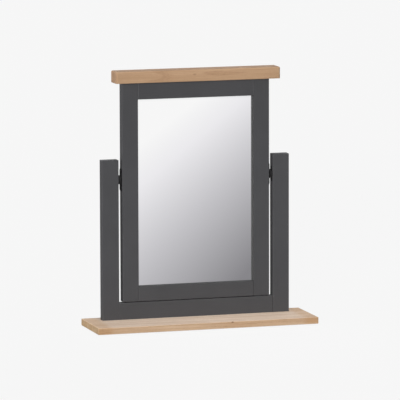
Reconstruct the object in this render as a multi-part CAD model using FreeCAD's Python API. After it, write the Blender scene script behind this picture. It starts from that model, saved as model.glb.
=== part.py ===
import FreeCAD, Part
import math
import os

# Dressing-table mirror: a painted frame with an oak cap tilts between two painted posts on an oak board.
# The origin is on the table under the middle of the board.
# +X points to the viewer's right, -Y to the front and +Z up.
# All sizes are in millimetres.

# Base board and felt pads
base_thickness = 16.0
base_side_overhang = 40.5
shelf_depth = 106.0
base_back_margin = 27.0
base_edge_radius = 1.6
pad_diameter = 20.0
pad_thickness = 2.0
pad_inset = 12.0

# Stand
post_width = 41.5
post_thickness = 22.0
post_head = 49.0
stand_rail_height = 41.0
paint_edge_radius = 1.2

# Mirror frame
frame_width = 370.0
frame_height = 531.0
frame_thickness = 22.0
frame_gap = 2.0
pivot_rise = 296.0
stile_width = 40.0
top_rail_width = 42.0
bottom_rail_width = 36.0

# Oak cap
cap_thickness = 28.5
cap_side_overhang = 20.8
cap_front_overhang = 23.5
cap_back_overhang = 1.0
cap_edge_radius = 3.5
oak_underside_radius = 0.6

# Glass, foam and back panel, in rebates cut into the back of the frame
glass_lip = 10.0
glass_thickness = 3.0
glass_rebate = 6.0
glass_clearance = 1.0
foam_thickness = 1.5
foam_width = 8.0
panel_thickness = 4.0
panel_rebate = 15.0
panel_clearance = 0.5

# Dowels
dowel_length = 30.0
dowel_chamfer = 0.8
frame_dowel_diameter = 6.0
stand_dowel_diameter = 8.0
cap_dowel_diameter = 8.0
cap_dowel_count = 3
dowel_clearance = 0.1
dowel_end_clearance = 1.0

# Wood screws
screw_clearance = 0.1
recess_arm = 3.2
recess_slot = 0.9
recess_depth = 1.2
base_screw_diameter = 4.0
base_screw_length = 40.0
base_screw_head = 8.0
base_screw_inset = 12.0
rail_screw_count = 3
plate_screw_diameter = 3.5
plate_screw_length = 18.0
plate_screw_head = 6.5
panel_screw_diameter = 3.0
panel_screw_length = 12.0
panel_screw_head = 6.0
panel_screw_head_height = 2.2
panel_screw_spacing = 120.0

# Pivots
plate_thickness = 2.0
plate_width = 16.0
frame_plate_length = 56.0
frame_plate_edge_radius = 0.5
plate_recess_clearance = 0.2
plate_end_margin = 1.5
boss_diameter = 22.0
frame_boss_height = 2.8
post_boss_height = 3.2
boss_screw_gap = 0.5
friction_washer_thickness = 1.0
pin_diameter = 6.0
pin_head_diameter = 12.0
pin_head_thickness = 2.0
pin_head_clearance = 0.5
pin_tail = 1.5
pin_chamfer = 0.6
running_clearance = 0.05
spring_washer_thickness = 1.6
spring_washer_diameter = 11.0
spring_washer_split = 1.0
nut_across_flats = 10.0
nut_height = 4.5
nut_collar_diameter = 8.8
nut_collar_height = 1.5
nut_pocket_clearance = 1.0

# How far a cutting tool runs past the surface that it opens
overshoot = 1.0

# Places along X, from the middle outwards
pivot_gap = plate_thickness + frame_boss_height + friction_washer_thickness + post_boss_height
frame_half = frame_width / 2
opening_half = frame_half - stile_width
post_inner = frame_half + pivot_gap
post_outer = post_inner + post_width
base_half = post_outer + base_side_overhang
cap_half = frame_half + cap_side_overhang

# Places along Y, from the front to the back; posts and frame share one middle plane
base_depth = shelf_depth + post_thickness + base_back_margin
stand_y = base_depth / 2 - base_back_margin - post_thickness / 2
frame_front = stand_y - frame_thickness / 2
frame_back = stand_y + frame_thickness / 2
glass_front = frame_front + glass_lip
glass_back = glass_front + glass_thickness
panel_front = glass_back + foam_thickness
panel_back = panel_front + panel_thickness

# Places along Z, from the table up
base_bottom = pad_thickness
base_top = base_bottom + base_thickness
stand_rail_top = base_top + stand_rail_height
frame_bottom = stand_rail_top + frame_gap
frame_top = frame_bottom + frame_height
opening_bottom = frame_bottom + bottom_rail_width
opening_top = frame_top - top_rail_width
pivot_z = frame_bottom + pivot_rise
post_top = pivot_z + post_head
cap_top = frame_top + cap_thickness

# Screw places on the pivot plates, measured from the pivot axis
post_plate_screw_offset = boss_diameter / 2 + boss_screw_gap + plate_screw_head / 2
post_plate_length = 2 * (post_plate_screw_offset + plate_screw_head / 2 + plate_end_margin)
frame_plate_screw_offset = frame_plate_length / 2 - plate_end_margin - plate_screw_head / 2

# Height above the frame's side of each layer of the pivot
frame_boss_face = plate_thickness + frame_boss_height
post_boss_face = frame_boss_face + friction_washer_thickness
post_plate_back = pivot_gap + plate_thickness
nut_face = post_plate_back + spring_washer_thickness
pin_end = nut_face + nut_height + nut_collar_height + pin_tail

SIDES = {"left": -1, "right": 1}
UP = FreeCAD.Vector(0, 0, 1)
DOWN = FreeCAD.Vector(0, 0, -1)
BACK = FreeCAD.Vector(0, 1, 0)


def box(x, y, z):
    """A box from its (low, high) limits along each axis."""
    corner = FreeCAD.Vector(x[0], y[0], z[0])
    return Part.makeBox(x[1] - x[0], y[1] - y[0], z[1] - z[0], corner)


def outwards(side):
    """The direction from the middle to one side."""
    return FreeCAD.Vector(side, 0, 0)


def span(side, near, far):
    """The (low, high) limits along X of a piece on one side, from its distances to the middle."""
    return tuple(sorted((side * near, side * far)))


def between(low, high, count):
    """Evenly spaced places between two limits, away from both of them."""
    step = (high - low) / (count + 1)
    return [low + step * (index + 1) for index in range(count)]


def spread(low, high, spacing):
    """Evenly spaced places between two limits, at most a spacing apart."""
    return between(low, high, math.ceil((high - low) / spacing) - 1)


def placed(shape, place, axis):
    """The shape moved so that its local Z axis starts at the place and runs along the given axis."""
    shape.Placement = FreeCAD.Placement(place, FreeCAD.Rotation(UP, axis))
    return shape


def turned(profile):
    """A solid turned about local Z from its (radius, height) outline."""
    points = [FreeCAD.Vector(radius, 0, height) for radius, height in profile]
    outline = Part.makePolygon(points + points[:1])
    return Part.Face(outline).revolve(FreeCAD.Vector(), UP, 360)


def eased(solid, radius, sharp=()):
    """The solid with rounded arrises, except on the (axis, place) planes where another piece meets it."""
    def meets(edge):
        return any(
            all(abs(vertex.Point[axis] - place) < 1e-6 for vertex in edge.Vertexes) for axis, place in sharp
        )

    return solid.makeFillet(radius, [edge for edge in solid.Edges if not meets(edge)])


def rounded_rim(solid, height, radius):
    """The solid with a rounded rim on its flat face at a height."""
    rim = [edge for edge in solid.Edges if all(abs(vertex.Z - height) < 1e-6 for vertex in edge.Vertexes)]
    return solid.makeFillet(radius, rim)


def oak_piece(board, radius, underside):
    """An oak board with rounded arrises, those of its underside only just broken."""
    return rounded_rim(eased(board, radius, sharp=[(2, underside)]), underside, oak_underside_radius)


# Dowels

def dowel(middle, axis, diameter):
    """A dowel with chamfered ends, centred on the joint face."""
    radius = diameter / 2
    half = dowel_length / 2
    profile = [
        (0, -half), (radius - dowel_chamfer, -half), (radius, dowel_chamfer - half),
        (radius, half - dowel_chamfer), (radius - dowel_chamfer, half), (0, half),
    ]
    return placed(turned(profile), middle, axis)


def dowel_hole(middle, axis, diameter):
    """The hole through both pieces that a dowel joins."""
    reach = dowel_length / 2 + dowel_end_clearance
    return Part.makeCylinder(diameter / 2 + dowel_clearance, 2 * reach, middle - axis * reach, axis)


def stand_dowel_places():
    """Two dowels at each end of the stand rail."""
    return [
        (FreeCAD.Vector(side * post_inner, stand_y, height), outwards(side), stand_dowel_diameter)
        for side in SIDES.values()
        for height in between(base_top, stand_rail_top, 2)
    ]


def frame_dowel_places():
    """Two dowels at each corner of the frame, in the wood beyond the back panel's rebate."""
    heights = between(frame_bottom, opening_bottom - panel_rebate, 2)
    heights += between(opening_top + panel_rebate, frame_top, 2)
    return [
        (FreeCAD.Vector(side * opening_half, stand_y, height), outwards(side), frame_dowel_diameter)
        for side in SIDES.values()
        for height in heights
    ]


def cap_dowel_places():
    """A row of dowels from the top rail into the cap."""
    return [
        (FreeCAD.Vector(place, stand_y, frame_top), UP, cap_dowel_diameter)
        for place in between(-opening_half, opening_half, cap_dowel_count)
    ]


def dowels(places):
    return Part.makeCompound([dowel(*place) for place in places])


def dowel_holes(places):
    return [dowel_hole(*place) for place in places]


# Screws: local Z points out of the head, and the surface that the head sits on is at height 0

def recess(top):
    """The cross in a screw's head."""
    arm = (-recess_arm / 2, recess_arm / 2)
    slot = (-recess_slot / 2, recess_slot / 2)
    depth = (top - recess_depth, top + overshoot)
    return box(arm, slot, depth).fuse(box(slot, arm, depth))


def countersunk_screw(diameter, length, head):
    """A screw with its flat head flush with the surface."""
    radius = diameter / 2
    sink = (head - diameter) / 2
    profile = [(0, 0), (head / 2, 0), (radius, -sink), (radius, diameter - length), (0, -length)]
    return turned(profile).cut(recess(0))


def countersunk_hole(diameter, length, head):
    """The hole for a countersunk screw, clear of it all round."""
    radius = diameter / 2 + screw_clearance
    rim = head / 2 + screw_clearance
    bottom = -length - screw_clearance
    profile = [
        (0, overshoot), (rim, overshoot), (rim, 0),
        (radius, radius - rim), (radius, bottom), (0, bottom),
    ]
    return turned(profile)


def pan_screw(diameter, length, head, head_height):
    """A screw with a domed head that stands on the surface."""
    radius = diameter / 2
    crown = head_height / 2
    profile = [
        (0, head_height), (head / 2 - crown, head_height), (head / 2, crown), (head / 2, 0),
        (radius, 0), (radius, diameter - length), (0, -length),
    ]
    return turned(profile).cut(recess(head_height))


def pan_hole(diameter, length):
    """The straight hole for a pan-head screw."""
    bottom = -length - screw_clearance
    return turned([(0, overshoot), (diameter / 2 + screw_clearance, overshoot),
                   (diameter / 2 + screw_clearance, bottom), (0, bottom)])


def base_screw_places():
    """One screw up into each post, outside its dowels, and a row up into the stand rail."""
    places = between(-post_inner, post_inner, rail_screw_count)
    places += [side * (post_outer - base_screw_inset) for side in SIDES.values()]
    return [FreeCAD.Vector(place, stand_y, base_bottom) for place in places]


def base_screws():
    return Part.makeCompound([
        placed(countersunk_screw(base_screw_diameter, base_screw_length, base_screw_head), place, DOWN)
        for place in base_screw_places()
    ])


def base_screw_holes():
    return [
        placed(countersunk_hole(base_screw_diameter, base_screw_length, base_screw_head), place, DOWN)
        for place in base_screw_places()
    ]


def panel_screw_places():
    """Screws round the back panel, over the middle of the ledge that it sits on."""
    ledge = (glass_rebate + panel_rebate) / 2
    column = opening_half + ledge
    low = opening_bottom - ledge
    high = opening_top + ledge
    places = [(side * column, height) for side in SIDES.values()
              for height in spread(low, high, panel_screw_spacing)]
    places += [(place, height) for height in (low, high)
               for place in spread(-column, column, panel_screw_spacing)]
    return [FreeCAD.Vector(place, panel_back, height) for place, height in places]


def panel_screws():
    size = (panel_screw_diameter, panel_screw_length, panel_screw_head, panel_screw_head_height)
    return Part.makeCompound([placed(pan_screw(*size), place, BACK) for place in panel_screw_places()])


def panel_screw_holes():
    return [placed(pan_hole(panel_screw_diameter, panel_screw_length), place, BACK)
            for place in panel_screw_places()]


def plate_screw_places(side, face, offset):
    """The two screws of a pivot plate, above and below the pivot."""
    place = side * (frame_half + face)
    return [FreeCAD.Vector(place, stand_y, pivot_z + step) for step in (-offset, offset)]


def frame_plate_screw_places(side):
    return plate_screw_places(side, plate_thickness, frame_plate_screw_offset)


def post_plate_screw_places(side):
    return plate_screw_places(side, pivot_gap, post_plate_screw_offset)


def plate_screws(places, axis):
    return Part.makeCompound([
        placed(countersunk_screw(plate_screw_diameter, plate_screw_length, plate_screw_head), place, axis)
        for place in places
    ])


def plate_screw_holes(places, axis):
    return [
        placed(countersunk_hole(plate_screw_diameter, plate_screw_length, plate_screw_head), place, axis)
        for place in places
    ]


# Pivot pieces: local Z runs along the pivot axis from the frame's side towards the post

def on_pivot(shape, side):
    return placed(shape, FreeCAD.Vector(side * frame_half, stand_y, pivot_z), outwards(side))


def ring(outer, inner, low, high):
    return turned([(inner, low), (outer, low), (outer, high), (inner, high)])


def oblong(length, width, low, high):
    """A flat bar with round ends, its length along local X."""
    radius = width / 2
    reach = length / 2 - radius
    bar = box((-reach, reach), (-radius, radius), (low, high))
    ends = [Part.makeCylinder(radius, high - low, FreeCAD.Vector(end, 0, low)) for end in (-reach, reach)]
    return bar.fuse(ends).removeSplitter()


def boss(low, high):
    return Part.makeCylinder(boss_diameter / 2, high - low, FreeCAD.Vector(0, 0, low))


def bore(radius):
    return Part.makeCylinder(radius, post_plate_back + 2 * overshoot, FreeCAD.Vector(0, 0, -overshoot))


def frame_plate(side):
    """The plate and boss on the frame's side, which carry the pin."""
    bar = oblong(frame_plate_length, plate_width, 0, plate_thickness)
    plate = rounded_rim(bar, plate_thickness, frame_plate_edge_radius)
    solid = plate.fuse(boss(plate_thickness, frame_boss_face))
    solid = solid.cut(bore(pin_diameter / 2 + screw_clearance))
    return on_pivot(solid, side).cut(plate_screw_holes(frame_plate_screw_places(side), outwards(side)))


def post_plate(side):
    """The plate let into the post's inner face, with the boss that the pin turns in."""
    plate = oblong(post_plate_length, plate_width, pivot_gap, post_plate_back)
    solid = plate.fuse(boss(post_boss_face, pivot_gap))
    solid = solid.cut(bore(pin_diameter / 2 + running_clearance))
    return on_pivot(solid, side).cut(plate_screw_holes(post_plate_screw_places(side), outwards(-side)))


def friction_washer(side):
    washer = ring(boss_diameter / 2, pin_diameter / 2 + screw_clearance, frame_boss_face, post_boss_face)
    return on_pivot(washer, side)


def pivot_pin(side):
    """A pin with a flat head behind the frame plate and a plain end for the nut."""
    radius = pin_diameter / 2
    profile = [
        (0, -pin_head_thickness), (pin_head_diameter / 2, -pin_head_thickness), (pin_head_diameter / 2, 0),
        (radius, 0), (radius, pin_end - pin_chamfer), (radius - pin_chamfer, pin_end), (0, pin_end),
    ]
    return on_pivot(turned(profile), side)


def pin_head_pocket(side):
    """The hollow in the stile behind the frame plate."""
    depth = pin_head_thickness + pin_head_clearance
    pocket = Part.makeCylinder(pin_head_diameter / 2 + pin_head_clearance, depth + overshoot,
                               FreeCAD.Vector(0, 0, -depth))
    return on_pivot(pocket, side)


def spring_washer(side):
    """A split ring under the nut."""
    washer = ring(spring_washer_diameter / 2, pin_diameter / 2 + screw_clearance, post_plate_back, nut_face)
    split = box((0, spring_washer_diameter), (-spring_washer_split / 2, spring_washer_split / 2),
                (post_plate_back - overshoot, nut_face + overshoot))
    return on_pivot(washer.cut(split), side)


def lock_nut(side):
    """A hexagon nut with chamfered corners and a round locking collar."""
    corner = nut_across_flats / math.sqrt(3)
    chamfer = corner - nut_across_flats / 2
    turns = [math.radians(60 * index) for index in range(7)]
    points = [FreeCAD.Vector(corner * math.cos(turn), corner * math.sin(turn), nut_face) for turn in turns]
    hexagon = Part.Face(Part.makePolygon(points)).extrude(UP * nut_height)
    top = nut_face + nut_height
    blank = turned([(0, nut_face), (corner - chamfer, nut_face), (corner, nut_face + chamfer),
                    (corner, top - chamfer), (corner - chamfer, top), (0, top)])
    collar = Part.makeCylinder(nut_collar_diameter / 2, nut_collar_height, FreeCAD.Vector(0, 0, top))
    hole = Part.makeCylinder(pin_diameter / 2 + screw_clearance, pin_end, FreeCAD.Vector(0, 0, post_plate_back))
    return on_pivot(hexagon.common(blank).fuse(collar).cut(hole), side)


def nut_pocket(side):
    """The hollow in the post behind the post plate, wide enough for the nut to turn."""
    widest = max(2 * nut_across_flats / math.sqrt(3), spring_washer_diameter)
    start = post_plate_back - overshoot
    pocket = Part.makeCylinder(widest / 2 + nut_pocket_clearance, pin_end + nut_pocket_clearance - start,
                               FreeCAD.Vector(0, 0, start))
    return on_pivot(pocket, side)


def plate_recess(side):
    """The shallow recess that the post plate lies in, flush with the post's inner face."""
    growth = 2 * plate_recess_clearance
    pocket = oblong(post_plate_length + growth, plate_width + growth, pivot_gap - overshoot, post_plate_back)
    return on_pivot(pocket, side)


# Stand

def base_board():
    board = box((-base_half, base_half), (-base_depth / 2, base_depth / 2), (base_bottom, base_top))
    return oak_piece(board, base_edge_radius, base_bottom).cut(base_screw_holes())


def pad(across, along):
    """A felt disc under one corner of the board; the signs pick the corner."""
    inset = pad_inset + pad_diameter / 2
    centre = FreeCAD.Vector(across * (base_half - inset), along * (base_depth / 2 - inset), 0)
    return Part.makeCylinder(pad_diameter / 2, pad_thickness, centre)


def post(side):
    upright = box(span(side, post_inner, post_outer),
                  (stand_y - post_thickness / 2, stand_y + post_thickness / 2), (base_top, post_top))
    holes = dowel_holes(stand_dowel_places()) + base_screw_holes()
    holes += plate_screw_holes(post_plate_screw_places(side), outwards(-side))
    holes += [plate_recess(side), nut_pocket(side)]
    return eased(upright, paint_edge_radius, sharp=[(2, base_top)]).cut(holes)


def stand_rail():
    rail = box((-post_inner, post_inner),
               (stand_y - post_thickness / 2, stand_y + post_thickness / 2), (base_top, stand_rail_top))
    joints = [(0, -post_inner), (0, post_inner), (2, base_top)]
    holes = dowel_holes(stand_dowel_places()) + base_screw_holes()
    return eased(rail, paint_edge_radius, sharp=joints).cut(holes)


# Mirror

def rebate(width, front):
    """The space routed out of the back of the frame, round the opening."""
    return box((-opening_half - width, opening_half + width), (front, frame_back + overshoot),
               (opening_bottom - width, opening_top + width))


def frame_cuts():
    """The rebates and holes that the frame's four pieces share."""
    cuts = [rebate(glass_rebate, glass_front), rebate(panel_rebate, panel_front)]
    return cuts + dowel_holes(frame_dowel_places()) + panel_screw_holes()


def stile(side):
    width = span(side, opening_half, frame_half)
    upright = box(width, (frame_front, frame_back), (frame_bottom, frame_top))
    holes = plate_screw_holes(frame_plate_screw_places(side), outwards(side)) + [pin_head_pocket(side)]
    return eased(upright, paint_edge_radius, sharp=[(2, frame_top)]).cut(frame_cuts() + holes)


def frame_rail(low, high, sharp, holes):
    """A rail between the stiles."""
    rail = box((-opening_half, opening_half), (frame_front, frame_back), (low, high))
    joints = [(0, -opening_half), (0, opening_half)] + sharp
    return eased(rail, paint_edge_radius, sharp=joints).cut(frame_cuts() + holes)


def top_rail():
    return frame_rail(opening_top, frame_top, [(2, frame_top)], dowel_holes(cap_dowel_places()))


def bottom_rail():
    return frame_rail(frame_bottom, opening_bottom, [], [])


def top_cap():
    cap = box((-cap_half, cap_half), (frame_front - cap_front_overhang, frame_back + cap_back_overhang),
              (frame_top, cap_top))
    return oak_piece(cap, cap_edge_radius, frame_top).cut(dowel_holes(cap_dowel_places()))


def glass_half():
    return opening_half + glass_rebate - glass_clearance


def glass_heights():
    """The glass stands on the lower ledge of its rebate, with room above it."""
    return opening_bottom - glass_rebate, opening_top + glass_rebate - glass_clearance


def mirror_glass():
    return box((-glass_half(), glass_half()), (glass_front, glass_back), glass_heights())


def foam_strips():
    """Four strips between the edges of the glass and the back panel."""
    low, high = glass_heights()
    depth = (glass_back, panel_front)
    uprights = [box(span(side, glass_half() - foam_width, glass_half()), depth, (low, high))
                for side in SIDES.values()]
    width = (foam_width - glass_half(), glass_half() - foam_width)
    lengths = [box(width, depth, (low, low + foam_width)), box(width, depth, (high - foam_width, high))]
    return Part.makeCompound(uprights + lengths)


def back_panel():
    reach = panel_rebate - panel_clearance
    panel = box((-opening_half - reach, opening_half + reach), (panel_front, panel_back),
                (opening_bottom - reach, opening_top + reach))
    return panel.cut(panel_screw_holes())


def stand_pieces():
    pieces = {"base_board": base_board(), "stand_rail": stand_rail(), "base_screws": base_screws()}
    pieces["rail_dowels"] = dowels(stand_dowel_places())
    for along, end in (("front", -1), ("rear", 1)):
        for across, side in SIDES.items():
            pieces[f"{along}_{across}_pad"] = pad(side, end)
    for name, side in SIDES.items():
        pieces[f"{name}_post"] = post(side)
        pieces[f"{name}_post_plate"] = post_plate(side)
        pieces[f"{name}_post_plate_screws"] = plate_screws(post_plate_screw_places(side), outwards(-side))
    return pieces


def mirror_pieces():
    pieces = {"top_rail": top_rail(), "bottom_rail": bottom_rail(), "top_cap": top_cap()}
    pieces["frame_dowels"] = dowels(frame_dowel_places())
    pieces["cap_dowels"] = dowels(cap_dowel_places())
    pieces["mirror_glass"] = mirror_glass()
    pieces["foam_strips"] = foam_strips()
    pieces["back_panel"] = back_panel()
    pieces["panel_screws"] = panel_screws()
    for name, side in SIDES.items():
        pieces[f"{name}_stile"] = stile(side)
        pieces[f"{name}_frame_plate"] = frame_plate(side)
        pieces[f"{name}_frame_plate_screws"] = plate_screws(frame_plate_screw_places(side), outwards(side))
        pieces[f"{name}_pivot_pin"] = pivot_pin(side)
        pieces[f"{name}_friction_washer"] = friction_washer(side)
        pieces[f"{name}_spring_washer"] = spring_washer(side)
        pieces[f"{name}_lock_nut"] = lock_nut(side)
    return pieces


os.makedirs("parts", exist_ok=True)
for node, shape in {**stand_pieces(), **mirror_pieces()}.items():
    shape.exportStep(f"parts/{node}.step")
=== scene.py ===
import math
import random

import bmesh
import bpy
from mathutils import Matrix, Vector


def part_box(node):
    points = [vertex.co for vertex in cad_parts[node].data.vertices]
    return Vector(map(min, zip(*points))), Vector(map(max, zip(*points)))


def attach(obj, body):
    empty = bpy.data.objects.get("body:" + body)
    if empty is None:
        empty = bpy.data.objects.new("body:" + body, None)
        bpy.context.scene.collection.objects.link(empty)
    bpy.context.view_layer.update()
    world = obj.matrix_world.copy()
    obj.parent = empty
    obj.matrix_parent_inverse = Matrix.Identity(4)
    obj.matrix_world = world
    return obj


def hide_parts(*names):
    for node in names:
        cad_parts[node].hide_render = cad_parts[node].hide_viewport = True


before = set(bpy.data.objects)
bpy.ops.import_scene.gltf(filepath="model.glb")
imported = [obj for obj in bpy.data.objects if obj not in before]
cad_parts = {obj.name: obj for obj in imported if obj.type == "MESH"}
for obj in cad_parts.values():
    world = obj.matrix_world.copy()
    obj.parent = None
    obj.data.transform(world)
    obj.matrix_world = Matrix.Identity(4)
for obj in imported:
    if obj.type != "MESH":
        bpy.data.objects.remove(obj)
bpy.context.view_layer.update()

# Camera: a long lens, up and to the left of the front
lens_length = 385.0
sensor_width = 36.0
view_azimuth = math.radians(-16.98)
view_elevation = math.radians(7.64)
view_roll = math.radians(-0.16)
view_distance = 10.335
view_target_x = 0.01287
view_target_z = 0.2995

# Stage: a pale floor that goes on behind the object, in an even, soft surround
stage_grey = 0.9216
floor_half = 25.0
floor_albedo = 0.45
floor_glow = 0.88
floor_glow_level = 0.99
ambient_light = 0.10

# Painted shade on the floor, seen only in the mirror, which looks along the floor: it darkens the
# reflection towards one side
mirror_shade_slope = 0.4675
mirror_shade_start = -0.76
mirror_shade_end = 0.02

# Oak: sizes of the grain, in metres along each axis
ring_pitch = 0.0045
ring_wander = 0.024
wander_size = (0.35, 0.06, 0.06)
fibre_size = (0.09, 0.0012, 0.0012)
figure_size = (0.30, 0.014, 0.014)
pore_size = (0.007, 0.0003, 0.0003)
fleck_size = (0.016, 0.0022, 0.0022)
oak_edge_width = 0.0030
# Length of the browner ends: partly lacquer in the end grain, partly painted shade
end_soak_and_shade_length = 0.044
knot_stretch = 0.5

# Oak: how much of the tone below a mark covers
fibre_cover = 0.35
ring_cover = 0.35
fleck_cover = 0.20
pore_cover = 0.45

# Paint: sizes of the brush strokes and other marks, in metres, and how much the strokes cover
stroke_length = 0.060
stroke_width = 0.0012
paint_cloud_size = 0.08
paint_peel_size = 0.0016
paint_wear_size = 0.02
paint_edge_width = 0.0018
joint_line_width = 0.0014
# width of the painted shade in the lip round the glass
lip_shade_width = 0.0012
stroke_cover = 0.3

# Glass, metal, hardboard and beech: sizes of the marks, in metres, and how much of the board they cover
dull_margin = 0.012
dull_rim = 0.004
smear_size = (0.05, 0.05, 0.02)
stipple_size = 0.0006
turning_size = 0.0003
tarnish_size = 0.003
board_fibre_length = 0.0050
board_fibre_width = 0.0005
board_speckle_size = 0.0007
board_cloud_size = 0.12
board_cover = 0.35
beech_fleck_size = (0.004, 0.0006, 0.0006)

# Depth of each finish's relief, in metres
oak_relief = 0.00012
paint_relief = 0.00005
stipple_relief = 0.00006
turning_relief = 0.00002
board_relief = 0.00005
beech_relief = 0.00004

# Felt and foam: sizes of the soft pieces, in metres, and the points that round them off
felt_ragged_edge = 0.00025
foam_strip_width = 0.008
foam_loose_edge = 0.0005
foam_step = 0.010
round_steps = 6
pad_steps = 60


def colour(red, green, blue):
    """A colour as it is seen, in sRGB steps of 255, for a shader's socket."""
    def linear(step):
        share = step / 255
        return share / 12.92 if share <= 0.04045 else ((share + 0.055) / 1.055) ** 2.4
    return (linear(red), linear(green), linear(blue), 1.0)


class Finish:
    """One material: its shader, and short calls for the nodes that drive it."""

    def __init__(self, name, **constants):
        self.material = bpy.data.materials.new(name)
        self.material.use_nodes = True
        self.tree = self.material.node_tree
        self.shader = self.tree.nodes["Principled BSDF"]
        for socket, value in constants.items():
            self.show(socket.replace("_", " "), value)
        coordinates = self.add("TexCoord")
        self.place = coordinates.outputs["Object"]
        self.facing = coordinates.outputs["Normal"]

    def add(self, kind, sockets=None, **settings):
        """A new node, with its settings made and its sockets fed."""
        node = self.tree.nodes.new("ShaderNode" + kind)
        for name, value in settings.items():
            setattr(node, name, value)
        for key, value in (sockets or {}).items():
            self.feed(node.inputs[key], value)
        return node

    def feed(self, socket, value):
        """Links a socket to another node's output, or sets it to a constant."""
        if isinstance(value, bpy.types.NodeSocket):
            self.tree.links.new(value, socket)
        else:
            socket.default_value = value

    def show(self, socket, value):
        """Feeds a socket of the shader itself."""
        self.feed(self.shader.inputs[socket], value)

    def math(self, operation, *terms):
        """What a math node makes of its terms."""
        node = self.add("Math", operation=operation)
        for socket, term in zip(node.inputs, terms):
            self.feed(socket, term)
        return node.outputs["Value"]

    def vector(self, operation, *terms):
        """What a vector math node makes of its terms."""
        node = self.add("VectorMath", operation=operation)
        for socket, term in zip(node.inputs, terms):
            self.feed(socket, term)
        return node.outputs["Value" if operation == "LENGTH" else "Vector"]

    def axes(self, vector):
        """A vector's three parts."""
        return self.add("SeparateXYZ", {"Vector": vector}).outputs

    def blend(self, share, first, second):
        """A colour between two."""
        node = self.add("Mix", data_type="RGBA")
        for index, value in ((0, share), (6, first), (7, second)):
            self.feed(node.inputs[index], value)
        return node.outputs[2]

    def mix(self, share, first, second):
        """A shader between two."""
        return self.add("MixShader", {0: share, 1: first, 2: second}).outputs[0]

    def ramp(self, value, start, end, low=0.0, high=1.0):
        """A smooth step from low, where the value is at start, to high, where it is at end."""
        sockets = {"Value": value, "From Min": start, "From Max": end, "To Min": low, "To Max": high}
        return self.add("MapRange", sockets, interpolation_type="SMOOTHSTEP").outputs["Result"]

    def noise(self, size, seed=0.0, detail=2.0, output="Fac"):
        """Noise whose grains are about size in metres: one length, or one along each axis."""
        sizes = (size,) * 3 if isinstance(size, float) else size
        scaled = self.vector("DIVIDE", self.place, sizes)
        shifted = self.vector("ADD", scaled, (seed, seed, seed))
        sockets = {"Vector": shifted, "Scale": 1.0, "Detail": detail}
        return self.add("TexNoise", sockets).outputs[output]

    def patches(self, size, seed, start=0.3, end=0.7, detail=2.0):
        """Noise with more contrast: 0 where it lies under start, 1 where it lies over end."""
        return self.ramp(self.noise(size, seed, detail), start, end)

    def inward(self, low, high):
        """How far in a place lies from the faces of the box between two corners, along each axis."""
        offset = self.vector("ABSOLUTE", self.vector("SUBTRACT", self.place, (low + high) / 2))
        return self.axes(self.vector("SUBTRACT", (high - low) / 2, offset))

    def arris(self, node, width):
        """1 along a square-edged node's arrises, fading to 0 over a width."""
        x, y, z = [self.ramp(depth, width, 0.0) for depth in self.inward(*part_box(node))]
        pairs = [self.math("MULTIPLY", *pair) for pair in ((x, y), (y, z), (z, x))]
        return self.math("MAXIMUM", pairs[0], self.math("MAXIMUM", pairs[1], pairs[2]))

    def by_face(self, tints):
        """A colour for the faces square to X, Y and Z, blending round the arrises."""
        shares = self.axes(self.vector("MULTIPLY", self.facing, self.facing))
        greys = [self.add("CombineXYZ", dict.fromkeys("XYZ", share)).outputs[0] for share in shares]
        x, y, z = [self.vector("MULTIPLY", grey, tint) for grey, tint in zip(greys, tints)]
        return self.vector("ADD", self.vector("ADD", x, y), z)

    def bump(self, height, depth):
        """Raises the surface by up to a depth in metres."""
        self.show("Normal", self.add("Bump", {"Height": height, "Distance": depth}).outputs["Normal"])


def outlook(azimuth, elevation):
    """The direction from the object towards a place round it, with azimuth 0 at the front."""
    level = math.cos(elevation)
    return Vector((math.sin(azimuth) * level, -math.cos(azimuth) * level, math.sin(elevation)))


def dress(finish, *names):
    """Gives CAD nodes a finish."""
    for name in names:
        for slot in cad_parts[name].material_slots:
            slot.material = finish.material


def early_wood(finish, pith):
    """1 where a growth ring's porous early wood starts, fading to 0 over about half of the ring."""
    wander = finish.vector("SUBTRACT", finish.noise(wander_size, output="Color"), (0.5, 0.5, 0.5))
    shift = finish.vector("MULTIPLY", wander, (0.0, ring_wander, ring_wander))
    bent = finish.vector("ADD", finish.place, shift)
    outward = finish.vector("MULTIPLY", finish.vector("SUBTRACT", bent, pith), (0.0, 1.0, 1.0))
    growth = finish.math("FRACT", finish.math("DIVIDE", finish.vector("LENGTH", outward), ring_pitch))
    return finish.math("MULTIPLY", finish.ramp(growth, 0.55, 0.0), finish.ramp(growth, 0.0, 0.06))


def knot_heart(finish, knot):
    """1 in the middle of a small knot, which is longer along the grain, fading to 0 at its radius."""
    offset = finish.vector("SUBTRACT", finish.place, knot["place"])
    distance = finish.vector("LENGTH", finish.vector("MULTIPLY", offset, (knot_stretch, 1.0, 1.0)))
    return finish.ramp(distance, knot["radius"], knot["radius"] / 3)


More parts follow.
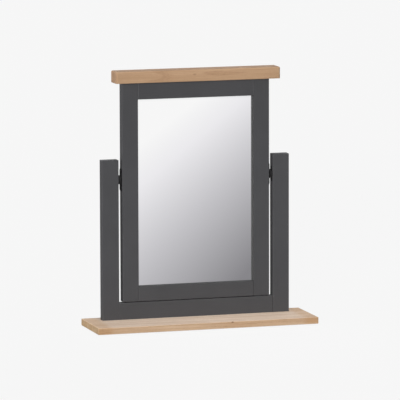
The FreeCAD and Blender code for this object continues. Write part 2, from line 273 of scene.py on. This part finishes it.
def oak(node, tones, tints, knot, pith, seed):
    """Satin-lacquered oak with its grain along X, cut from a log whose pith is beside the board.

    The ends of the grain are browner: partly lacquer drawn into the end grain, partly painted shade in
    place of the paler reflection of the stand in the lacquer between the posts.
    """
    finish = Finish(node + "_oak", Specular_IOR_Level=0.03)
    early = early_wood(finish, pith)
    fibre = finish.patches(fibre_size, seed)
    figure = finish.patches(figure_size, seed + 7, 0.35, 0.65)
    pores = finish.patches(pore_size, seed + 3, 0.58, 0.70, 1.0)
    pores = finish.math("MULTIPLY", pores, finish.ramp(early, 0.0, 0.6, 0.35, 1.0))
    flecks = finish.patches(fleck_size, seed + 11, 0.62, 0.72, 1.0)

    tone = finish.blend(figure, tones["pale"], tones["brown"])
    marks = (
        (fibre, fibre_cover, tones["fibre"]),
        (early, ring_cover, tones["ring"]),
        (flecks, fleck_cover, tones["fleck"]),
        (pores, pore_cover, tones["pore"]),
        (knot_heart(finish, knot), knot["cover"], tones["pore"]),
    )
    for mark, cover, mark_tone in marks:
        tone = finish.blend(finish.math("MULTIPLY", mark, cover), tone, mark_tone)
    # Painted light: a tint for each face, for how light falls on it: a paler top on the board, painted
    # sheen, and a darker top on the cap, painted shade
    tone = finish.vector("MULTIPLY", tone, finish.by_face(tints["faces"]))
    # The arris tone: pale wear on the board, painted shade on the cap's arrises, which catch the light
    broken = finish.ramp(fibre, 0.2, 0.8, 0.1, 0.3)
    wear_and_shade = finish.math("MULTIPLY", finish.arris(node, oak_edge_width), broken)
    tone = finish.blend(wear_and_shade, tone, tones["arris"])
    # Browner ends: partly lacquer in the end grain, partly painted shade in place of a reflection in the
    # lacquer
    soak_and_shade = finish.ramp(finish.inward(*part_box(node))[0], end_soak_and_shade_length, end_soak_and_shade_length / 2)
    finish.show("Base Color", finish.blend(soak_and_shade, tone, finish.vector("MULTIPLY", tone, tints["ends"])))

    coarse = finish.math("ADD", pores, finish.math("MULTIPLY", early, 0.4))
    finish.show("Roughness", finish.ramp(coarse, 0.0, 1.2, 0.55, 0.72))
    finish.bump(finish.math("SUBTRACT", finish.math("MULTIPLY", fibre, 0.25), coarse), oak_relief)
    return finish


def sight_opening():
    """The corners of the opening inside the frame's four members."""
    low = Vector((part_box("left_stile")[1].x, 0.0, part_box("bottom_rail")[1].z))
    high = Vector((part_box("right_stile")[0].x, 0.0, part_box("top_rail")[0].z))
    return low, high


def charcoal_paint(node, along, seed, joints=()):
    """Matt paint brushed along a member, thinner on its arrises, and darker in the lip round the glass,
    which is painted shade.

    The joints are the tones of the hairlines at the member's low and high end.
    """
    finish = Finish(node + "_paint", Specular_IOR_Level=0.08)
    stroke = [stroke_width] * 3
    stroke[along] = stroke_length
    strokes = finish.patches(stroke, seed)
    cloud = finish.patches(paint_cloud_size, seed + 5)
    peel = finish.noise(paint_peel_size, seed + 9)
    tone = finish.blend(cloud, colour(74, 74, 76), colour(77, 77, 79))
    tone = finish.blend(finish.math("MULTIPLY", strokes, stroke_cover), tone, colour(81, 81, 83))
    for end, joint_tone in enumerate(joints):
        offset = finish.math("SUBTRACT", finish.axes(finish.place)[along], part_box(node)[end][along])
        line = finish.ramp(finish.math("ABSOLUTE", offset), joint_line_width, joint_line_width / 3)
        tone = finish.blend(line, tone, joint_tone)
    # Painted shade: the paint darkens in the lip round the glass, where the recess is in shade
    width, _, height = finish.inward(*sight_opening())
    lip = finish.ramp(finish.math("MINIMUM", width, height), -lip_shade_width, 0.0)
    tone = finish.blend(lip, tone, colour(50, 50, 51))
    broken = finish.ramp(finish.noise(paint_wear_size, seed + 2), 0.35, 0.65, 0.1, 0.5)
    worn = finish.math("MULTIPLY", finish.arris(node, paint_edge_width), broken)
    finish.show("Base Color", finish.blend(worn, tone, colour(86, 86, 87)))
    finish.show("Roughness", finish.ramp(strokes, 0.0, 1.0, 0.56, 0.66))
    finish.bump(finish.math("ADD", peel, finish.math("MULTIPLY", strokes, 0.6)), paint_relief)
    return finish


def silvered_glass():
    """Mirror glass: silver under a clear, flat front, a little dulled towards its edges."""
    finish = Finish("mirror_glass", Metallic=1.0, Coat_Weight=1.0, Coat_Roughness=0.0, Coat_IOR=1.5)
    width, _, height = finish.inward(*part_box("mirror_glass"))
    dulled = finish.ramp(finish.math("MINIMUM", width, height), dull_margin, dull_rim)
    finish.show("Base Color", finish.blend(dulled, colour(250, 250, 250), colour(236, 238, 237)))
    finish.show("Roughness", finish.ramp(finish.noise(smear_size, 4.0), 0.45, 0.75, 0.0, 0.012))
    return finish


def powder_coat():
    """Black powder-coated steel, finely stippled."""
    finish = Finish("black_metal", Specular_IOR_Level=0.08)
    stipple = finish.noise(stipple_size, 2.0)
    raised = finish.ramp(stipple, 0.3, 0.7)
    finish.show("Base Color", finish.blend(raised, colour(28, 28, 29), colour(38, 38, 39)))
    finish.show("Roughness", finish.ramp(stipple, 0.3, 0.7, 0.52, 0.66))
    finish.bump(stipple, stipple_relief)
    return finish


def zinc_steel():
    """Zinc-plated steel with fine tool marks and some tarnish."""
    finish = Finish("zinc_steel", Metallic=1.0)
    turning = finish.noise(turning_size, 6.0)
    tarnish = finish.patches(tarnish_size, 1.0, 0.35, 0.65)
    finish.show("Base Color", finish.blend(tarnish, colour(196, 196, 192), colour(164, 162, 156)))
    finish.show("Roughness", finish.ramp(turning, 0.3, 0.7, 0.28, 0.46))
    finish.bump(turning, turning_relief)
    return finish


def hardboard():
    """Brown fibreboard: paler fibres lying both ways over a fine dark speckle."""
    finish = Finish("hardboard", Specular_IOR_Level=0.25)
    level = finish.noise((board_fibre_length, board_fibre_width, board_fibre_width), 3.0)
    upright = finish.noise((board_fibre_width, board_fibre_width, board_fibre_length), 13.0)
    fibres = finish.ramp(finish.math("MAXIMUM", level, upright), 0.55, 0.75)
    speckle = finish.patches(board_speckle_size, 8.0, 0.45, 0.70)
    cloud = finish.patches(board_cloud_size, 5.0)
    tone = finish.blend(cloud, colour(137, 105, 74), colour(143, 111, 79))
    tone = finish.blend(finish.math("MULTIPLY", fibres, board_cover), tone, colour(172, 140, 106))
    tone = finish.blend(finish.math("MULTIPLY", speckle, board_cover), tone, colour(96, 70, 47))
    finish.show("Base Color", tone)
    finish.show("Roughness", finish.ramp(fibres, 0.0, 1.0, 0.80, 0.62))
    finish.bump(finish.math("SUBTRACT", fibres, speckle), board_relief)
    return finish


def matted(name, dark, pale, grain, depth):
    """A dull fibrous or foamed material, mottled at the size of its grain."""
    finish = Finish(name, Specular_IOR_Level=0.15, Sheen_Weight=0.3)
    mottle = finish.patches(grain, 5.0, detail=3.0)
    finish.show("Base Color", finish.blend(mottle, dark, pale))
    finish.show("Roughness", finish.ramp(mottle, 0.0, 1.0, 0.8, 0.95))
    finish.bump(mottle, depth)
    return finish


def beech():
    """Plain beech with short dark flecks along the dowels."""
    finish = Finish("beech", Roughness=0.6)
    flecks = finish.patches(beech_fleck_size, 9.0, 0.5, 0.7)
    finish.show("Base Color", finish.blend(flecks, colour(205, 168, 130), colour(170, 126, 88)))
    finish.bump(flecks, beech_relief)
    return finish


def dress_base_board():
    """Pale limed oak with a small dark knot on the front. Its front and ends are tinted browner than its
    top, a painted sheen on the top, and the ends of the grain are browner still, partly painted shade.
    """
    tones = {
        "pale": colour(215, 198, 181),
        "brown": colour(200, 178, 157),
        "fibre": colour(180, 156, 132),
        "ring": colour(176, 150, 125),
        "fleck": colour(220, 206, 192),
        "pore": colour(112, 80, 52),
        "arris": colour(214, 196, 176),
    }
    tints = {
        # painted light: these face tints make the top paler than the front and ends, a painted sheen
        "faces": ((1.0, 0.955, 0.82), (0.94, 0.81, 0.67), (1.0, 1.0, 1.02)),
        # the ends' tint: partly lacquer in the end grain, partly painted shade
        "ends": (0.92, 0.85, 0.76),
    }
    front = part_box("base_board")[0].y
    knot = {"place": (0.0582, front, 0.0166), "radius": 0.0024, "cover": 0.9}
    dress(oak("base_board", tones, tints, knot, pith=(0.0, 0.12, -0.16), seed=18.5), "base_board")


def dress_top_cap():
    """Browner oak with a faint knot on the front; its top is tinted darker and its arrises darker, both
    painted shade.
    """
    tones = {
        "pale": colour(190, 157, 126),
        "brown": colour(183, 150, 119),
        "fibre": colour(168, 133, 103),
        "ring": colour(165, 130, 100),
        "fleck": colour(199, 167, 137),
        "pore": colour(104, 72, 48),
        # painted shade: a dark tone on the arrises, which catch the light
        "arris": colour(110, 84, 63),
    }
    tints = {
        # painted shade: the Z tint darkens the cap's top
        "faces": ((0.99, 0.98, 1.02), (1.0, 1.0, 1.0), (0.79, 0.83, 0.92)),
        "ends": (0.97, 0.97, 0.97),
    }
    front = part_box("top_cap")[0].y
    knot = {"place": (-0.0102, front, 0.6087), "radius": 0.0030, "cover": 0.3}
    dress(oak("top_cap", tones, tints, knot, pith=(0.0, 0.36, 0.58), seed=56.5), "top_cap")


def dress_painted_members():
    """Paint along the uprights and the rails, with the lines of the rails' joints."""
    for index, name in enumerate(("left_post", "right_post", "left_stile", "right_stile")):
        dress(charcoal_paint(name, along=2, seed=10.0 * index), name)
    filled = colour(86, 86, 88)
    pale = colour(106, 106, 108)
    dark = colour(24, 24, 25)
    joint_tones = {"top_rail": (pale, filled), "bottom_rail": (filled, dark), "stand_rail": (filled, dark)}
    for index, (name, joints) in enumerate(joint_tones.items()):
        dress(charcoal_paint(name, along=0, seed=50.0 + 10.0 * index, joints=joints), name)


def dress_fittings():
    """The glass and what is behind it, the pivots, the screws and the dowels."""
    sides = ("left", "right")
    black = ("frame_plate", "post_plate", "frame_plate_screws", "post_plate_screws")
    bright = ("pivot_pin", "spring_washer", "lock_nut")
    zinc = zinc_steel()
    fibre = matted("fibre_washer", colour(28, 28, 28), colour(44, 44, 44), grain=0.0008, depth=0.00005)
    dress(silvered_glass(), "mirror_glass")
    dress(powder_coat(), *[f"{side}_{piece}" for side in sides for piece in black])
    dress(zinc, "base_screws", "panel_screws", *[f"{side}_{piece}" for side in sides for piece in bright])
    dress(fibre, *[f"{side}_friction_washer" for side in sides])
    dress(hardboard(), "back_panel")
    dress(beech(), "rail_dowels", "frame_dowels", "cap_dowels")


def half_turn():
    """Points round half a circle, from its foot to its head."""
    angles = [math.pi * (step / round_steps - 0.5) for step in range(round_steps + 1)]
    return [(math.cos(angle), math.sin(angle)) for angle in angles]


def soft_piece(name, rings, finish, node, body):
    """A closed piece through rings of points, flat at both ends, that stands for a CAD node."""
    form = bmesh.new()
    loops = [[form.verts.new(point) for point in ring] for ring in rings]
    for ring, following in zip(loops, loops[1:]):
        for index in range(len(ring)):
            corners = (ring[index - 1], ring[index], following[index], following[index - 1])
            form.faces.new(corners).smooth = True
    form.faces.new(loops[0])
    form.faces.new(loops[-1])
    bmesh.ops.recalc_face_normals(form, faces=form.faces)
    mesh = bpy.data.meshes.new(name)
    form.to_mesh(mesh)
    form.free()
    mesh.materials.append(finish.material)
    piece = bpy.data.objects.new(name, mesh)
    bpy.context.scene.collection.objects.link(piece)
    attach(piece, body)
    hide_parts(node)


def felt_pad(node, finish, seed):
    """A pressed felt disc under the board, its cut edge bulging and a little ragged."""
    low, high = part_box(node)
    centre = (low + high) / 2
    radius, _, half = (high - low) / 2
    ragged = random.Random(seed)
    reaches = [radius - half - felt_ragged_edge * ragged.random() for _ in range(pad_steps)]
    rings = []
    for out, up in half_turn():
        ring = []
        for step, reach in enumerate(reaches):
            angle = math.tau * step / pad_steps
            across = reach + half * out
            ring.append(centre + Vector((math.cos(angle) * across, math.sin(angle) * across, half * up)))
        rings.append(ring)
    soft_piece(node + "_felt", rings, finish, node, "stand")


def foam_strip(name, low, high, along, finish, seed):
    """A foam strip pressed between the glass and the panel, its free edges bulging and a little uneven."""
    centre = (low + high) / 2
    half = (high - low) / 2
    across = 2 - along
    edge = half[across] - half.y
    loose = random.Random(seed)
    count = round(2 * half[along] / foam_step)
    rings = []
    for step in range(count + 1):
        ring = []
        for side in (1, -1):
            reach = edge - foam_loose_edge * loose.random()
            for out, up in half_turn():
                point = centre.copy()
                point[along] += half[along] * (2 * step / count - 1)
                point[across] += side * (reach + half.y * out)
                point.y += side * half.y * up
                ring.append(point)
        rings.append(ring)
    soft_piece(name, rings, finish, "foam_strips", "mirror")


def lay_felt_pads():
    """One pad under each corner of the board."""
    felt = matted("felt", colour(70, 66, 62), colour(94, 90, 84), grain=0.0007, depth=0.0003)
    nodes = [f"{end}_{side}_pad" for end in ("front", "rear") for side in ("left", "right")]
    for seed, node in enumerate(nodes):
        felt_pad(node, felt, seed)


def lay_foam_strips():
    """Two strips up the sides of the glass, and two between them."""
    foam = matted("foam", colour(56, 56, 58), colour(74, 74, 76), grain=0.0010, depth=0.0002)
    low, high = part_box("foam_strips")
    inner_left = low.x + foam_strip_width
    inner_right = high.x - foam_strip_width
    bottom_low = Vector((inner_left, low.y, low.z))
    bottom_high = Vector((inner_right, high.y, low.z + foam_strip_width))
    top_low = Vector((inner_left, low.y, high.z - foam_strip_width))
    top_high = Vector((inner_right, high.y, high.z))
    strips = (
        ("left_foam_strip", low, Vector((inner_left, high.y, high.z)), 2),
        ("right_foam_strip", Vector((inner_right, low.y, low.z)), high, 2),
        ("bottom_foam_strip", bottom_low, bottom_high, 0),
        ("top_foam_strip", top_low, top_high, 0),
    )
    for seed, (name, strip_low, strip_high, along) in enumerate(strips, start=10):
        foam_strip(name, strip_low, strip_high, along, foam, seed)


def place_camera():
    """The camera at the photograph's viewing angle."""
    back = outlook(view_azimuth, view_elevation)
    right = Vector((math.cos(view_azimuth), math.sin(view_azimuth), 0.0))
    level = Matrix((right, back.cross(right), back)).transposed()
    turn = level @ Matrix.Rotation(view_roll, 3, "Z")
    data = bpy.data.cameras.new("camera")
    data.lens = lens_length
    data.sensor_width = sensor_width
    camera = bpy.data.objects.new("camera", data)
    low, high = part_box("left_post")
    target = Vector((view_target_x, (low.y + high.y) / 2, view_target_z))
    camera.matrix_world = Matrix.LocRotScale(target + back * view_distance, turn, None)
    bpy.context.scene.collection.objects.link(camera)
    bpy.context.scene.camera = camera


def painted_mirror_shade(finish):
    """Painted shade on the floor, seen only in reflections: the mirror's reflection darkens towards one
    side.
    """
    mirror_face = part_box("mirror_glass")[0].y
    x, y, _ = finish.axes(finish.place)
    reach = finish.math("MULTIPLY", finish.math("SUBTRACT", mirror_face, y), mirror_shade_slope)
    sockets = {"Value": finish.math("SUBTRACT", x, reach), "From Min": mirror_shade_start, "From Max": mirror_shade_end}
    mirror_shade_share = finish.add("MapRange", sockets).outputs["Result"]
    # painted shade: in reflections the floor's colour ramps from pale to grey by place
    dimming = finish.add("ValToRGB", {"Fac": mirror_shade_share})
    stops = dimming.color_ramp.elements
    stops[0].color = colour(251, 251, 251)
    stops[1].color = colour(138, 137, 141)
    for share, tone in ((0.231, colour(239, 238, 241)), (0.590, colour(199, 198, 202))):
        stops.new(share).color = tone
    return finish.add("Emission", {"Color": dimming.outputs["Color"]}).outputs[0]


def floor_finish():
    """Pale to the camera with the object's soft shadow, and with painted shade seen only in the mirror."""
    finish = Finish("floor")
    path = finish.add("LightPath").outputs
    albedo = (floor_albedo, floor_albedo, floor_albedo, 1.0)
    glow = (floor_glow_level, floor_glow_level, floor_glow_level, 1.0)
    shadowed = finish.add("BsdfDiffuse", {"Color": albedo}).outputs[0]
    pale = finish.add("Emission", {"Color": glow}).outputs[0]
    seen = finish.mix(floor_glow, shadowed, pale)
    direct = finish.mix(path["Is Camera Ray"], shadowed, seen)
    in_glass = finish.math("MAXIMUM", path["Is Glossy Ray"], path["Is Transmission Ray"])
    whole = finish.mix(in_glass, direct, painted_mirror_shade(finish))
    finish.feed(finish.tree.nodes["Material Output"].inputs["Surface"], whole)
    return finish


def lay_floor():
    """A floor that goes on far behind the object."""
    corners = [(x * floor_half, y * floor_half, 0.0) for x, y in ((-1, -1), (1, -1), (1, 1), (-1, 1))]
    mesh = bpy.data.meshes.new("floor")
    mesh.from_pydata(corners, [], [(0, 1, 2, 3)])
    mesh.materials.append(floor_finish().material)
    floor = bpy.data.objects.new("floor", mesh)
    bpy.context.scene.collection.objects.link(floor)


def light_world():
    """An even, soft surround: the stage's grey where it is seen, dimmer where it only gives light."""
    world = bpy.data.worlds.new("surround")
    world.use_nodes = True
    bpy.context.scene.world = world
    tree = world.node_tree
    background = tree.nodes["Background"]
    path = tree.nodes.new("ShaderNodeLightPath").outputs
    seen = tree.nodes.new("ShaderNodeMath")
    seen.operation = "MAXIMUM"
    tree.links.new(path["Is Camera Ray"], seen.inputs[0])
    tree.links.new(path["Is Glossy Ray"], seen.inputs[1])
    strength = tree.nodes.new("ShaderNodeMapRange")
    strength.inputs["To Min"].default_value = ambient_light
    strength.inputs["To Max"].default_value = stage_grey
    tree.links.new(seen.outputs[0], strength.inputs["Value"])
    background.inputs["Color"].default_value = (1.0, 1.0, 1.0, 1.0)
    tree.links.new(strength.outputs["Result"], background.inputs["Strength"])


def hang_lamp(name, azimuth, elevation, spread, level):
    """A broad, far-off lamp; at level 1 it lights a white surface that faces it to white."""
    data = bpy.data.lights.new(name, "SUN")
    data.angle = math.radians(spread)
    data.energy = math.pi * level
    lamp = bpy.data.objects.new(name, data)
    towards = outlook(math.radians(azimuth), math.radians(elevation))
    lamp.rotation_euler = towards.to_track_quat("Z", "Y").to_euler()
    bpy.context.scene.collection.objects.link(lamp)


bpy.context.scene.view_settings.view_transform = "Standard"
place_camera()
lay_floor()
light_world()
hang_lamp("front_lamp", azimuth=-30.0, elevation=6.0, spread=16.0, level=0.74)
hang_lamp("side_lamp", azimuth=-80.0, elevation=6.0, spread=24.0, level=0.26)
hang_lamp("rear_lamp", azimuth=140.0, elevation=1.0, spread=14.0, level=0.95)
hang_lamp("top_lamp", azimuth=0.0, elevation=84.0, spread=10.0, level=0.74)
dress_base_board()
dress_top_cap()
dress_painted_members()
dress_fittings()
lay_felt_pads()
lay_foam_strips()
